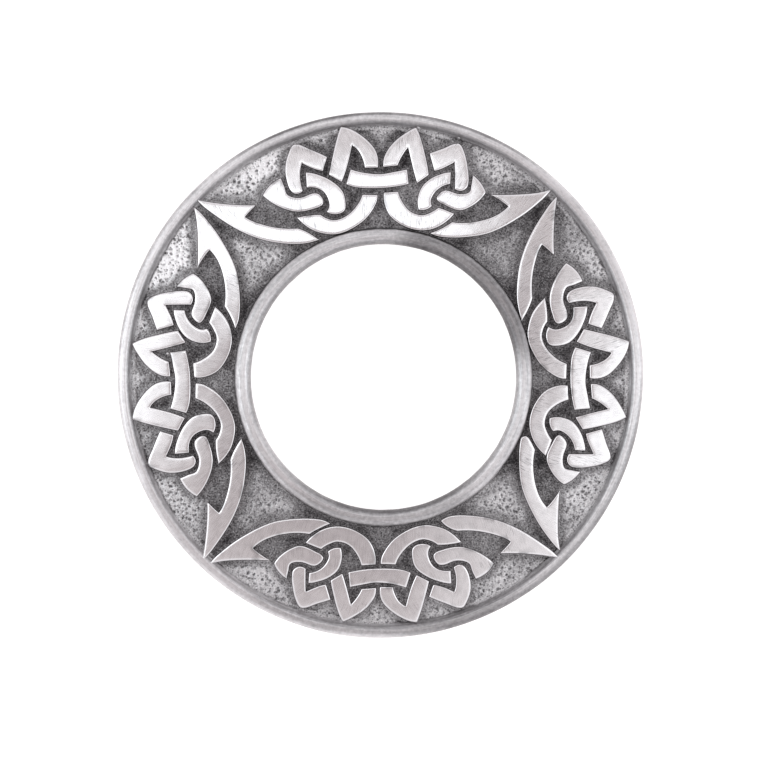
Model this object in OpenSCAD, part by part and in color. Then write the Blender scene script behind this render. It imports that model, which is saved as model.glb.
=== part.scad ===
// Plaid brooch: a domed cast ring with strap interlace in four panels, and a pin across its hollow back.
// Millimetres. Face up along +Z, top of the ring towards +Y, standing on the back edge of its outer rim.

/* [Ring] */
// Outside diameter of the brooch
outer_d = 76; // [74:0.5:80]
// Diameter of the central hole
hole_d = 38.3; // [37:0.1:39.5]
// How far the hole lies to the right of the ring's centre, as cast
hole_right = 0.45; // [-0.5:0.05:0.5]
// How far the hole lies above the ring's centre, as cast
hole_up = -0.3; // [-0.5:0.05:0.5]
// Thickness of the cast plate
plate_t = 2; // [1.6:0.1:2.2]
// Radius of the dome that the ground between the straps follows
dome_r = 150; // [145:5:250]
// Height of that ground above the back, where it meets the outer rim
edge_h = 4; // [3.8:0.1:5]

/* [Rims] */
// Width of the outer rim's round bead
outer_bead_w = 1.8; // [1.6:0.1:2.2]
// Height of the outer bead's crown above the ground beside it
outer_bead_h = 1.1; // [0.8:0.1:1.4]
// Width of the inner rim's round bead
inner_bead_w = 2.4; // [2:0.1:2.6]
// Height of the inner bead's crown above the ground beside it
inner_bead_h = 1.3; // [1:0.1:1.5]
// How far the inner rim's collar stands behind the plate
collar_drop = 0.4; // [0.2:0.1:0.8]

/* [Interlace] */
// Height of the straps above the ground between them
relief_h = 1; // [0.6:0.1:1.3]
// Straight lengths in each smooth stretch of a strap's outline
edge_steps = 4; // [2:1:6]

/* [Pin] */
// Distance of the pin wire from the ring's centre, towards the top
pin_up = 24.5; // [24:0.5:25]
// Distance between the middles of the hinge foot and the catch foot
pin_span = 33; // [28:1:33]
// Diameter of the pin wire
wire_d = 1.3; // [1:0.1:1.3]
// Side of each square foot
foot_w = 5; // [4:0.5:5]
// Thickness of each foot
foot_t = 0.8; // [0.6:0.1:0.8]

/* [Hidden] */
$fn = 96;

outer_r = outer_d / 2;
hole_r = hole_d / 2;
hole_at = [hole_right, hole_up, 0];

// The dome: one centre serves the ground, the strap tops and the hollow back
ground_r = outer_r - outer_bead_w / 2;
dome_z = edge_h - sqrt(dome_r * dome_r - ground_r * ground_r);
function ground_z(r) = dome_z + sqrt(dome_r * dome_r - r * r);
function back_z(r) = dome_z + sqrt((dome_r - plate_t) * (dome_r - plate_t) - r * r);

// The outer rim: a round bead on a skirt whose flat back edge is the resting face
skirt_inset = 0.25;
skirt_in_r = outer_r - outer_bead_w;
skirt_out_r = outer_r - skirt_inset;
outer_bead_z = edge_h + outer_bead_h - outer_bead_w / 2;

// The inner rim: a round bead on a collar round the hole
inner_bead_r = hole_r + inner_bead_w / 2;
inner_bead_z = ground_z(inner_bead_r) + inner_bead_h - inner_bead_w / 2;
collar_inset = 0.2;
collar_z = back_z(inner_bead_r) - collar_drop;

// Straps start at this height, inside the plate before its back is hollowed, and end above the dome
strap_foot_z = 1;
over = 1;
above_dome_z = ground_z(0) + relief_h + over;

// The straps' outlines were drawn at this outside diameter, and follow the ring's
chart_d = 76;
// They turn about a point a little below the ring's centre, as cast
chart_at = [0, -0.5, 0];
// Distance from there to the crossing bar's lower edge, about which a half panel is stretched
bar_out = 27.5;

// Straps are drawn once for each half of a panel. The four panels were finished by hand, so each half
// panel has its own stretches about the bar, and each strap in it lies a little off its drawn place.
// Turn of each panel in degrees, clockwise from the top panel
PANEL_TURNS = [0.1, 1.0, 0.7, -0.1];
// The bar in each panel: [shift across, shift out, stretch outwards]
BARS = [[-0.05, 0.05, 0.92], [-0.05, 0, 1], [0.2, 0, 0.93], [0, 0, 1]];
// Half panels: [stretch outwards, stretch inwards, turn of the thorn in degrees]
RIGHT_HALVES = [[1.04, 1, 1], [0.95, 1, -2], [0.9, 1, 0], [1, 1, 0]];
LEFT_HALVES = [[1.045, 1, 0], [1, 1, -3], [0.9, 1, -1.5], [1, 1, 0]];
STRETCH = 2;
OUTWARDS = 0;
INWARDS = 1;
THORN_TURN = 2;
// Straps' shifts, [across, out] in millimetres, one row for each panel
//               [arch, bracket, c hook, outer hook, j hook, thorn]
RIGHT_SHIFTS = [[[-0.05, 0.05], [-0.05, 0], [0.15, -0.15], [-0.05, -0.1], [0.15, -0.05], [-0.15, 0.15]],
                [[-0.15, 0.15], [-0.35, 0.05], [-0.05, 0.05], [-0.4, -0.2], [0.25, 0.2], [-0.5, -0.25]],
                [[-0.15, 0.15], [-0.3, 0.2], [0.05, 0.05], [-0.2, -0.1], [0.05, 0], [-0.5, 0.05]],
                [[-0.05, -0.05], [-0.05, -0.05], [0, 0], [-0.05, 0], [-0.1, 0], [0, -0.05]]];
LEFT_SHIFTS = [[[-0.05, 0.05], [0.2, -0.05], [-0.05, -0.1], [0.05, -0.2], [-0.2, -0.3], [0.55, -0.1]],
               [[0.1, -0.05], [0.25, 0], [0.05, 0], [0.15, -0.05], [-0.25, 0.05], [0.65, -0.25]],
               [[-0.15, 0.1], [-0.15, 0.05], [-0.25, 0], [-0.25, -0.1], [-0.3, 0], [0.05, 0]],
               [[-0.05, -0.05], [0, 0], [-0.05, 0], [0, -0.05], [0, -0.1], [0.3, -0.05]]];
// The point that a thorn is turned about
THORN_MID = [16.5, 23];
THORN = 5;
// The inner end of each half panel's thorn, which takes the place of this row of its outline
TAIL = 10;
RIGHT_TAILS = [[7.2, 21.0], [8.5, 21.1], [7.45, 21.0], [7.2, 21.0]];
LEFT_TAILS = [[8.35, 20.1], [8.2, 20.1], [9.0, 20.25], [8.35, 20.15]];

// Outlines in a panel's own frame, in millimetres: [across, out, smooth], where smooth is 0 at a corner
BAR = [[-4.3, 30.4, 0], [-2.3, 29.85, 1], [0, 29.65, 1], [2, 30.0, 1], [3.85, 30.4, 0],
       [4.1, 28.1, 0], [2, 27.65, 1], [0, 27.45, 1], [-2.3, 27.45, 1], [-3.7, 27.6, 1], [-4.95, 28.05, 0]];

ARCH_R = [[0.4, 30.4, 0], [0.65, 32.05, 1], [2.0, 33.9, 1], [4.0, 35.35, 1], [5.14, 35.9, 0],
          [5.9, 34.2, 1], [6.7, 31, 1], [7.0, 29.3, 0], [5.3, 28.15, 0],
          [4.75, 30, 1], [4.0, 33.1, 0], [3.1, 31.85, 1], [2.5, 30.6, 0]];
BRACKET_R = [[7.1, 32.35, 0], [9.0, 33.0, 1], [11.2, 33.75, 1], [12.0, 32.85, 1], [12.6, 30.5, 1],
             [12.7, 27.95, 1], [11.9, 27.15, 1], [10.75, 27.4, 0], [10.75, 29.4, 1], [10.7, 31.1, 0],
             [8.85, 30.2, 1], [7.8, 29.9, 0]];
C_HOOK_R = [[10.0, 29.86, 0], [9.0, 29.74, 1], [7.3, 29.1, 1], [5.86, 27.9, 1], [5.2, 26.2, 1],
            [5.35, 24.5, 0], [6.4, 24.55, 1], [7.26, 25.07, 0], [7.2, 26.2, 1], [8.3, 27.6, 1],
            [9.9, 28.25, 0]];
OUTER_HOOK_R = [[13.35, 29.45, 0], [14.5, 28.35, 1], [15.25, 27.0, 0], [14.45, 25.95, 1], [13.0, 24.9, 1],
                [11.4, 24.4, 1], [9.3, 25.2, 1], [8.15, 26.0, 1], [8.55, 26.85, 1], [9.5, 27.3, 1],
                [11.2, 26.8, 1], [12.8, 27.0, 1], [13.15, 28.1, 1]];
J_HOOK_R = [[0.3, 26.9, 0], [2.36, 27.05, 0], [3.05, 25.45, 1], [4.2, 24.15, 1], [5.8, 23.65, 1],
            [7.1, 24.05, 1], [8.2, 24.75, 0], [9.55, 24.25, 1], [10.5, 23.86, 0], [8.85, 22.35, 1],
            [7.0, 21.55, 1], [5.2, 21.45, 1], [3.2, 22.05, 1], [1.3, 23.4, 1], [0.4, 25.2, 1]];
THORN_R = [[24.86, 27.0, 0], [22.57, 26.57, 1], [19.5, 26.4, 1], [16.1, 26.43, 0], [17.6, 25.5, 1],
           [18.6, 24.7, 0], [16.55, 23.3, 1], [13.5, 22.5, 1], [10.45, 22.55, 0], [8.9, 21.65, 1],
           [7.2, 21.0, 0], [9.0, 20.4, 1], [12.5, 20.35, 1], [16.15, 21.0, 1], [20.35, 23.15, 1],
           [23.45, 25.5, 1]];

ARCH_L = [[0.45, 30.3, 0], [0.7, 32.45, 1], [2.1, 34.15, 1], [4.15, 35.5, 1], [5.86, 35.93, 0],
          [6.5, 33.95, 1], [7.2, 31, 1], [7.55, 29.3, 0], [5.7, 28.3, 0],
          [4.95, 30.3, 1], [4.2, 33.35, 0], [3.05, 32.25, 1], [2.35, 30.25, 0]];
BRACKET_L = [[7.55, 31.85, 0], [9.9, 32.85, 1], [12.25, 33.6, 1], [13.05, 32.55, 1], [13.6, 30.4, 1],
             [13.2, 27.9, 1], [12.3, 26.75, 1], [11.05, 27.1, 0], [11.45, 29.1, 1], [11.2, 31.0, 0],
             [9.55, 30.25, 1], [8.15, 29.9, 0]];
C_HOOK_L = [[10.9, 29.75, 0], [9.3, 29.5, 1], [7.2, 28.6, 1], [5.6, 27.2, 1], [5.1, 25.4, 1],
            [5.35, 24.25, 1], [6.6, 23.8, 1], [7.86, 24.14, 0], [7.5, 25.5, 1], [8.55, 27.25, 1],
            [10.75, 27.65, 0]];
OUTER_HOOK_L = [[14.4, 29.05, 0], [15.9, 28.1, 1], [17.0, 26.6, 0], [15.5, 25.45, 1], [13.5, 24.55, 1],
                [11.7, 24.27, 1], [9.6, 24.7, 1], [8.25, 25.45, 1], [8.8, 26.75, 1], [9.8, 26.9, 1],
                [11.6, 26.28, 1], [13.35, 26.65, 1], [13.85, 27.8, 1]];
J_HOOK_L = [[0.65, 26.8, 0], [2.85, 26.85, 0], [3.55, 25.4, 1], [4.9, 23.95, 1], [6.5, 23.2, 1],
            [7.8, 23.35, 1], [8.86, 23.93, 0], [10.5, 23.85, 1], [12.3, 23.5, 0], [10.4, 21.9, 1],
            [8.4, 21.2, 1], [6.6, 21.1, 1], [4.65, 21.75, 1], [2.45, 23.25, 1], [0.95, 25.35, 1]];
THORN_L = [[26.0, 25.85, 0], [23.55, 25.45, 1], [20.5, 25.15, 1], [17.45, 25.1, 0], [18.5, 24.05, 1],
           [19.05, 23.4, 0], [17.45, 22.6, 1], [14.45, 21.85, 1], [11.4, 21.75, 0], [9.95, 21.15, 1],
           [8.55, 20.1, 0], [10.5, 19.55, 1], [13.3, 19.55, 1], [16.85, 20.2, 1], [20.5, 21.75, 1],
           [24.4, 24.35, 1]];

RIGHT_STRAPS = [ARCH_R, BRACKET_R, C_HOOK_R, OUTER_HOOK_R, J_HOOK_R, THORN_R];
LEFT_STRAPS = [ARCH_L, BRACKET_L, C_HOOK_L, OUTER_HOOK_L, J_HOOK_L, THORN_L];

// The pin's feet sit face to face on flat round bosses of the casting. The bosses' faces lie just
// below the hollow's height at each foot's outermost corner, and their roots end inside the plate.
boss_margin = 0.2;
boss_d = foot_w * sqrt(2) + 2 * boss_margin;
boss_out_r = norm([pin_span + foot_w, 2 * pin_up + foot_w]) / 2;
boss_in_r = norm([pin_span / 2, pin_up]) - boss_d / 2;
boss_below = 0.1;
boss_root = 0.25;
boss_z = back_z(boss_out_r) - boss_below;
boss_root_z = back_z(boss_in_r) + boss_root;

// The pin wire lies against the feet, in a round barrel at the hinge end and another at the catch
wire_z = boss_z - foot_t - wire_d / 2;
barrel_wall = 0.5;
barrel_d = wire_d + 2 * barrel_wall;
hinge_l = 3;
catch_l = 2.4;
wire_tip = 1.6;

function unit(v) = v / norm(v);
function row(rows, i) = rows[(i + len(rows)) % len(rows)];
function at(rows, i) = let (r = row(rows, i)) [r[0], r[1]];
function is_smooth(rows, i) = row(rows, i)[2] == 1;

// Direction of the outline at a smooth row, along the line between its neighbours
function heading(rows, i) = unit(at(rows, i + 1) - at(rows, i - 1));

// One stretch of outline from row i to the next, as a cubic with these end slopes
function cubic(a, slope_a, b, slope_b, t) =
    let (s = 1 - t)
    a * (s * s * (1 + 2 * t)) + slope_a * (t * s * s) + b * (t * t * (3 - 2 * t)) - slope_b * (t * t * s);

// Points from row i up to the next: one where both are corners. At a corner the curve ends as an arc.
function stretch_points(rows, i) =
    let (a = at(rows, i), b = at(rows, i + 1), along = b - a, l = norm(along),
         go_a = is_smooth(rows, i) ? heading(rows, i) * l : undef,
         go_b = is_smooth(rows, i + 1) ? heading(rows, i + 1) * l : undef)
    is_undef(go_a) && is_undef(go_b)
        ? [a]
        : let (slope_a = is_undef(go_a) ? 2 * along - go_b : go_a,
               slope_b = is_undef(go_b) ? 2 * along - go_a : go_b)
          [for (k = [0:edge_steps - 1]) cubic(a, slope_a, b, slope_b, k / edge_steps)];

function outline(rows) = [for (i = [0:len(rows) - 1]) each stretch_points(rows, i)];

// A point turned about another, anticlockwise
function turned(p, about, angle) =
    let (d = p - about)
    about + [d[0] * cos(angle) - d[1] * sin(angle), d[0] * sin(angle) + d[1] * cos(angle)];

// The outline in a half panel, where side is 1 for the right half and -1 for the left
function in_half(points, side, half, shift, turn) =
    let (fit = outer_d / chart_d)
    [for (drawn = points)
        let (p = turned(drawn, THORN_MID, turn),
             off_bar = p[1] - bar_out,
             stretch = off_bar > 0 ? half[OUTWARDS] : half[INWARDS])
        [side * (p[0] + shift[0]), bar_out + off_bar * stretch + shift[1]] * fit];

module strap(points) {
    translate([0, 0, strap_foot_z])
        linear_extrude(height = above_dome_z - strap_foot_z)
            polygon(points);
}

function with_tail(rows, tail) =
    [for (i = [0:len(rows) - 1]) i == TAIL ? [tail[0], tail[1], 0] : rows[i]];

module half_panel(side, straps, half, shifts, tail) {
    for (i = [0:THORN - 1])
        strap(in_half(outline(straps[i]), side, half, shifts[i], 0));
    strap(in_half(outline(with_tail(straps[THORN], tail)), side, half, shifts[THORN], half[THORN_TURN]));
}

module panel(i) {
    rotate([0, 0, -90 * i - PANEL_TURNS[i]]) {
        strap(in_half(outline(BAR), 1, [BARS[i][STRETCH], 1], BARS[i], 0));
        half_panel(1, RIGHT_STRAPS, RIGHT_HALVES[i], RIGHT_SHIFTS[i], RIGHT_TAILS[i]);
        half_panel(-1, LEFT_STRAPS, LEFT_HALVES[i], LEFT_SHIFTS[i], LEFT_TAILS[i]);
    }
}

// The interlace, with its tops on a sphere above the ground's
module straps() {
    intersection() {
        translate(chart_at)
            for (i = [0:len(PANEL_TURNS) - 1])
                panel(i);
        translate([0, 0, dome_z])
            sphere(r = dome_r + relief_h);
    }
}

// The plate, not yet hollowed behind
module plate() {
    intersection() {
        difference() {
            cylinder(r = ground_r, h = above_dome_z);
            translate(hole_at - [0, 0, over])
                cylinder(r = inner_bead_r, h = above_dome_z + 2 * over);
        }
        translate([0, 0, dome_z])
            sphere(r = dome_r);
    }
}

module hollow() {
    translate([0, 0, dome_z])
        sphere(r = dome_r - plate_t);
}

module outer_rim() {
    rotate_extrude()
        union() {
            translate([outer_r - outer_bead_w / 2, outer_bead_z])
                circle(d = outer_bead_w);
            translate([skirt_in_r, 0])
                square([skirt_out_r - skirt_in_r, outer_bead_z]);
        }
}

module inner_rim() {
    translate(hole_at)
        rotate_extrude()
            union() {
                translate([inner_bead_r, inner_bead_z])
                    circle(d = inner_bead_w);
                translate([hole_r + collar_inset, collar_z])
                    square([inner_bead_w - 2 * collar_inset, inner_bead_z - collar_z]);
            }
}

// A flat round boss behind the plate for each foot of the pin
module bosses() {
    for (side = [-1, 1])
        translate([side * pin_span / 2, pin_up, boss_z])
            cylinder(d = boss_d, h = boss_root_z - boss_z);
}

module cast_ring() {
    color("lightgray") union() {
        difference() {
            union() {
                plate();
                straps();
            }
            hollow();
        }
        outer_rim();
        inner_rim();
        bosses();
    }
}

module foot() {
    translate([-foot_w / 2, -foot_w / 2, boss_z - foot_t])
        cube([foot_w, foot_w, foot_t]);
}

// A round barrel along the wire, with a web up into its foot
module barrel(l) {
    translate([0, 0, wire_z]) {
        rotate([0, 90, 0])
            cylinder(d = barrel_d, h = l, center = true);
        translate([-l / 2, -barrel_d / 2, 0])
            cube([l, barrel_d, boss_z - foot_t / 2 - wire_z]);
    }
}

module wire() {
    translate([-pin_span / 2, 0, wire_z])
        rotate([0, 90, 0])
            cylinder(d = wire_d, h = pin_span + catch_l / 2 + wire_tip);
}

module pin_fitting() {
    color("gray") translate([0, pin_up, 0]) {
        for (side = [-1, 1])
            translate([side * pin_span / 2, 0, 0])
                foot();
        translate([-pin_span / 2, 0, 0])
            barrel(hinge_l);
        translate([pin_span / 2, 0, 0])
            barrel(catch_l);
        wire();
    }
}

cast_ring();
pin_fitting();
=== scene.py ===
"""Looks of the plaid brooch: a domed ring of cast pewter, blackened and rubbed bright, with a pin.

Blender works in metres, in the casting's own frame: face up along +Z, top of the brooch towards +Y.
Sizes in capitals are in millimetres where nothing else is said, and MM turns them to metres.
"""

import math

import bmesh
import bpy
import numpy as np
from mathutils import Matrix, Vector, geometry, kdtree, noise


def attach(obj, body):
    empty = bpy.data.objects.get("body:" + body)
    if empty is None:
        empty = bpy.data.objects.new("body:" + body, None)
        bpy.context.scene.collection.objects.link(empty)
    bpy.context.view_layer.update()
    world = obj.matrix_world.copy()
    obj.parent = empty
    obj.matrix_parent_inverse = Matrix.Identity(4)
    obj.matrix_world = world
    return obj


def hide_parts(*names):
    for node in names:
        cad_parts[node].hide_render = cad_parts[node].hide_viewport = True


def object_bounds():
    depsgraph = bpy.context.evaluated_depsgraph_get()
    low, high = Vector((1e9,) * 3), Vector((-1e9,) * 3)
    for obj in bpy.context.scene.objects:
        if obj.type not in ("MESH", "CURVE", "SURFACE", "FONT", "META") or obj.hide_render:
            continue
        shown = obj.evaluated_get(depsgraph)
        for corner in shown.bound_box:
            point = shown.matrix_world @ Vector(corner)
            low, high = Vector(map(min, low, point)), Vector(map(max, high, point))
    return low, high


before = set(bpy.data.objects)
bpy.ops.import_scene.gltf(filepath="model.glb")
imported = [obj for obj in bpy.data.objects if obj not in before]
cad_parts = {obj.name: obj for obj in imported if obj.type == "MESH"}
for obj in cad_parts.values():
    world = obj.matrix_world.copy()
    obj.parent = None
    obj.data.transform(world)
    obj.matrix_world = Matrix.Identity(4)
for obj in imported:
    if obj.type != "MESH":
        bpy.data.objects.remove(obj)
cad_low, cad_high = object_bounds()

# Camera. The brooch was photographed from straight above, a little left of and above the picture's
# middle, with a long lens: no side of the rim is seen more than another.
MM = 0.001
PHOTO_PX = 766
RIM_ACROSS_PX = 525.74
BROOCH_MIDDLE_PX = (380.38, 374.99)
RIM_WIDEST_Z = 4.2
CAMERA_HEIGHT = 3000
CAMERA_SEES = (10, 10000)

metres_per_px = (cad_high.x - cad_low.x) / RIM_ACROSS_PX
bpy.ops.object.camera_add(
    location=(
        (PHOTO_PX / 2 - BROOCH_MIDDLE_PX[0]) * metres_per_px,
        (BROOCH_MIDDLE_PX[1] - PHOTO_PX / 2) * metres_per_px,
        (RIM_WIDEST_Z + CAMERA_HEIGHT) * MM,
    ),
    rotation=(0, 0, 0),
)
camera = bpy.context.object
camera.name = "photo_camera"
camera.data.lens = camera.data.sensor_width * CAMERA_HEIGHT * MM / (PHOTO_PX * metres_per_px)
camera.data.clip_start, camera.data.clip_end = CAMERA_SEES[0] * MM, CAMERA_SEES[1] * MM
bpy.context.scene.camera = camera

# Plate of the ring: the domed ground between the straps, cast rough from a punched wax model in one
# with all that stands on it. The casting was blackened with acid and then rubbed by hand, so what
# lies low or close under a wall stays dark, and wide open ground comes out bright.
RING_R = 38.0
DOME_R = 150.0
DOME_EDGE_R = 37.1
DOME_EDGE_Z = 4.0
PLATE_T = 2.0
PLATE_IN_R = 20.35
PLATE_OUT_R = 36.9
RELIEF = 1.0
MIDDLE = np.zeros(2)
HOLE_AT = np.array([0.45, -0.3])
INNER_BEAD_FOOT_R = 21.5
OUTER_BEAD_FOOT_R = 36.2
WELD = 0.001
TOP_TOLERANCE = 0.03
CORNER_DEG = 28
STRAP_STEP = 0.2
WALL_STEP = 0.1
GROUND_STEP = 0.15
GROUND_SHAKE = 0.03
STRAP_LAP = 0.2
OUTER_RIM_LAP = 0.2
INNER_RIM_LAP = 0.3
INNER_MARGIN = 0.1
HIDDEN_STEP = 0.8
HIDDEN_GAP = 0.3
BACK_STEP = 1.6
EDGE_STEP = 0.5
SEED = 11

dome_z = DOME_EDGE_Z - math.sqrt(DOME_R**2 - DOME_EDGE_R**2)


def dome(r, radius=DOME_R):
    """Height above the back edge, in millimetres, of a sphere about the dome's centre."""
    return dome_z + np.sqrt(radius**2 - np.asarray(r) ** 2)


def strap_outlines(node):
    """Closed outlines of the strap tops on a CAD node, in millimetres, each anticlockwise."""
    mesh = bmesh.new()
    mesh.from_mesh(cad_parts[node].data)
    bmesh.ops.remove_doubles(mesh, verts=mesh.verts, dist=WELD * MM)
    mesh.faces.index_update()
    centre, top_r = Vector((0, 0, dome_z * MM)), (DOME_R + RELIEF) * MM
    on_top = {v: abs((v.co - centre).length - top_r) < TOP_TOLERANCE * MM for v in mesh.verts}
    tops = {f.index for f in mesh.faces if f.normal.z > 0.9 and all(on_top[v] for v in f.verts)}
    after = {}
    for face in mesh.faces:
        if face.index not in tops:
            continue
        for loop in face.loops:
            beside = [other.index for other in loop.edge.link_faces if other is not face]
            if not tops.intersection(beside):
                after[loop.vert] = loop.link_loop_next.vert
    outlines = []
    while after:
        first, vert = after.popitem()
        points = [first]
        while vert in after:
            points.append(vert)
            vert = after.pop(vert)
        outline = np.array([[v.co.x, v.co.y] for v in points]) / MM
        outlines.append(np.roll(outline, -outline[:, 0].argmin(), 0))
    mesh.free()
    return sorted(outlines, key=lambda outline: tuple(outline[0].round(2)))


def unit(v):
    return v / np.maximum(np.linalg.norm(v, axis=-1, keepdims=True), 1e-12)


def finer(outline, step):
    """The outline with points about a step apart, round but for its corners, and inward normals."""
    ahead, behind = np.roll(outline, -1, 0), np.roll(outline, 1, 0)
    out, back = unit(ahead - outline), unit(outline - behind)
    sharp = np.einsum("ij,ij->i", out, back) < math.cos(math.radians(CORNER_DEG))
    middle = unit(out + back)
    points = []
    for i, (a, b) in enumerate(zip(outline, ahead)):
        j = (i + 1) % len(outline)
        length = np.linalg.norm(b - a)
        leave = (out[i] if sharp[i] else middle[i]) * length
        arrive = (out[i] if sharp[j] else middle[j]) * length
        n = max(1, round(length / step))
        for t in np.arange(n) / n:
            s = 1 - t
            points.append(
                a * s * s * (1 + 2 * t) + leave * t * s * s
                + b * t * t * (3 - 2 * t) - arrive * t * t * s
            )
    points = np.array(points)
    along = unit(np.roll(points, -1, 0) - np.roll(points, 1, 0))
    return points, np.stack([-along[:, 1], along[:, 0]], 1)


def reach(points, middle=MIDDLE):
    """Distance of each point from a middle, seen from above."""
    return np.linalg.norm(points[:, :2] - middle, axis=1)


def nearest(points, places):
    """Distance from each point to the nearest of some places, seen from above."""
    tree = kdtree.KDTree(len(places))
    for i, (x, y) in enumerate(places):
        tree.insert((x, y, 0), i)
    tree.balance()
    return np.array([tree.find((x, y, 0))[2] for x, y in points])


def inside(points, outline):
    """Whether each point lies within a closed outline."""
    x, y = points[:, :1], points[:, 1:]
    a, b = outline, np.roll(outline, -1, 0)
    spans = (a[:, 1] > y) != (b[:, 1] > y)
    rise = np.where(a[:, 1] == b[:, 1], 1, b[:, 1] - a[:, 1])
    crossed = spans & (x < a[:, 0] + (y - a[:, 1]) * (b[:, 0] - a[:, 0]) / rise)
    return crossed.sum(1) % 2 == 1


def field(step):
    """Points a step apart in a triangular grid over the square round the ring."""
    columns = np.arange(-RING_R, RING_R, step)
    rows = np.arange(-RING_R, RING_R, step * math.sqrt(3) / 2)
    x, y = np.meshgrid(columns, rows)
    x[1::2] += step / 2
    return np.stack([x.ravel(), y.ravel()], 1)


outlines = strap_outlines("cast_ring")
drawn = [finer(outline, STRAP_STEP) for outline in outlines]
wall_points = np.concatenate([finer(outline, WALL_STEP)[0] for outline in outlines])


def under_straps(points):
    """Whether each point lies under a strap."""
    covered = np.zeros(len(points), bool)
    for outline in outlines:
        near = np.flatnonzero(((points > outline.min(0)) & (points < outline.max(0))).all(1))
        covered[near[inside(points[near], outline)]] = True
    return covered


def circle(r):
    angles = np.linspace(0, math.tau, round(math.tau * r / EDGE_STEP), endpoint=False)
    return np.stack([r * np.cos(angles), r * np.sin(angles)], 1)


def annulus(inner, outer, filling):
    """Points and triangles over an annulus, from its two edges and the points between them."""
    n, m = len(inner), len(outer)
    edges = [(i, (i + 1) % n) for i in range(n)] + [(n + i, n + (i + 1) % m) for i in range(m)]
    given = [Vector(p) for p in np.concatenate([inner, outer, filling])]
    made, _, faces, *_ = geometry.delaunay_2d_cdt(given, edges, [], 0, 1e-5)
    made, faces = np.array([p[:] for p in made]), np.array(faces)
    hole_r = np.linalg.norm(inner[0]) * math.cos(math.pi / n)
    return made, faces[reach(made[faces].mean(1)) > hole_r]


def clear_of_edges(points, margin):
    """Those of the points that lie on the plate, this far or more from both of its edges."""
    r = reach(points)
    return points[(r > PLATE_IN_R + margin) & (r < PLATE_OUT_R - margin)]


# Ground that shows is meshed finely, and runs a little way in under the straps and the rims. What
# they hide, and the back, are meshed coarsely.
rng = np.random.default_rng(SEED)
fine = field(GROUND_STEP)
seen = ~under_straps(fine) | (nearest(fine, wall_points) < STRAP_LAP)
seen &= reach(fine) > PLATE_IN_R + INNER_MARGIN
seen &= reach(fine) < OUTER_BEAD_FOOT_R + OUTER_RIM_LAP
seen &= reach(fine, HOLE_AT) > INNER_BEAD_FOOT_R - INNER_RIM_LAP
fine = fine[seen] + rng.uniform(-GROUND_SHAKE, GROUND_SHAKE, (seen.sum(), 2))
coarse = clear_of_edges(field(HIDDEN_STEP), HIDDEN_STEP / 2)
coarse = coarse[nearest(coarse, fine) > HIDDEN_GAP]
behind = clear_of_edges(field(BACK_STEP), BACK_STEP / 2)
inner_edge, outer_edge = circle(PLATE_IN_R), circle(PLATE_OUT_R)
front, front_faces = annulus(inner_edge, outer_edge, np.concatenate([fine, coarse]))
back, back_faces = annulus(inner_edge, outer_edge, behind)

# Relief of the ground: punched pits, a ledge left at the outer rim, lumps of flash and rough skin.
PIT_SPACING = 0.7
PIT_R = (0.16, 0.28)
PIT_DEPTH = (0.05, 0.14)
PIT_STRETCH = 0.4
LEDGE_R = 35.35
LEDGE_W = 0.12
LEDGE_RISE = 0.12
FLASH_AT = ((-6.36, 35.4), (11.38, 34.4), (5.5, 35.9), (-5.6, -36.0), (-30.7, 3.1))
FLASH_R = 0.3
FLASH_RISE = 0.3
ROUGH_SIZE = 0.55
GRAIN_SIZE = 0.27
ROUGH_RISE = 0.03
OUTER_WALL_SHARE = 3.5


def ramp(value, low, high):
    """0 below low, 1 above high, and smooth between."""
    t = np.clip((np.asarray(value, float) - low) / (high - low), 0, 1)
    return t * t * (3 - 2 * t)


def bump_at(value, middle, width):
    """1 at a middle, falling to 0 at about two widths to each side of it."""
    return np.exp(-(((value - middle) / width) ** 2))


def facing(angle, towards_deg, spread_deg):
    """1 where an angle lies towards a direction, falling to 0 beyond its spread."""
    off = np.abs((angle - math.radians(towards_deg) + math.pi) % math.tau - math.pi)
    return 1 - ramp(np.degrees(off), 0.6 * spread_deg, spread_deg)


def mottle(points, size, seed):
    """Smooth chance variation from -1 to 1 with patches about this size."""
    return np.array([noise.noise((x / size, y / size, seed)) for x, y in points[:, :2]])


def sheltered(points):
    """Distance of each point to the nearest strap, and to the nearest strap or rim."""
    wall = nearest(points, wall_points)
    to_outer = OUTER_BEAD_FOOT_R - reach(points)
    to_inner = reach(points, HOLE_AT) - INNER_BEAD_FOOT_R
    return wall, np.clip(np.minimum(OUTER_WALL_SHARE * to_outer, to_inner), 0, wall)


def pits(points, rng):
    """Depth of the punched pits at each point, and how dark the patina left in them is."""
    cells = math.ceil(2 * RING_R / PIT_SPACING) + 2
    low = -RING_R - PIT_SPACING
    corner = np.stack(np.meshgrid(*[np.arange(cells)] * 2, indexing="ij"), -1)
    middle = low + (corner + rng.random((cells, cells, 2))) * PIT_SPACING
    radius = rng.uniform(*PIT_R, (cells, cells))
    deep = rng.uniform(*PIT_DEPTH, (cells, cells))
    turn = rng.uniform(0, math.pi, (cells, cells))
    cell = np.floor((points - low) / PIT_SPACING).astype(int)
    depth, stain = np.zeros(len(points)), np.zeros(len(points))
    for i in (-1, 0, 1):
        for j in (-1, 0, 1):
            a = np.clip(cell[:, 0] + i, 0, cells - 1)
            b = np.clip(cell[:, 1] + j, 0, cells - 1)
            x, y = (points - middle[a, b]).T / radius[a, b]
            along = x * np.cos(turn[a, b]) + y * np.sin(turn[a, b])
            away = np.sqrt(x * x + y * y - PIT_STRETCH * along * along)
            depth = np.maximum(depth, deep[a, b] * np.clip(1 - away**2, 0, 1))
            stain = np.maximum(stain, deep[a, b] / PIT_DEPTH[1] * ramp(1.05 - away, 0, 0.6))
    return depth, stain


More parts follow.
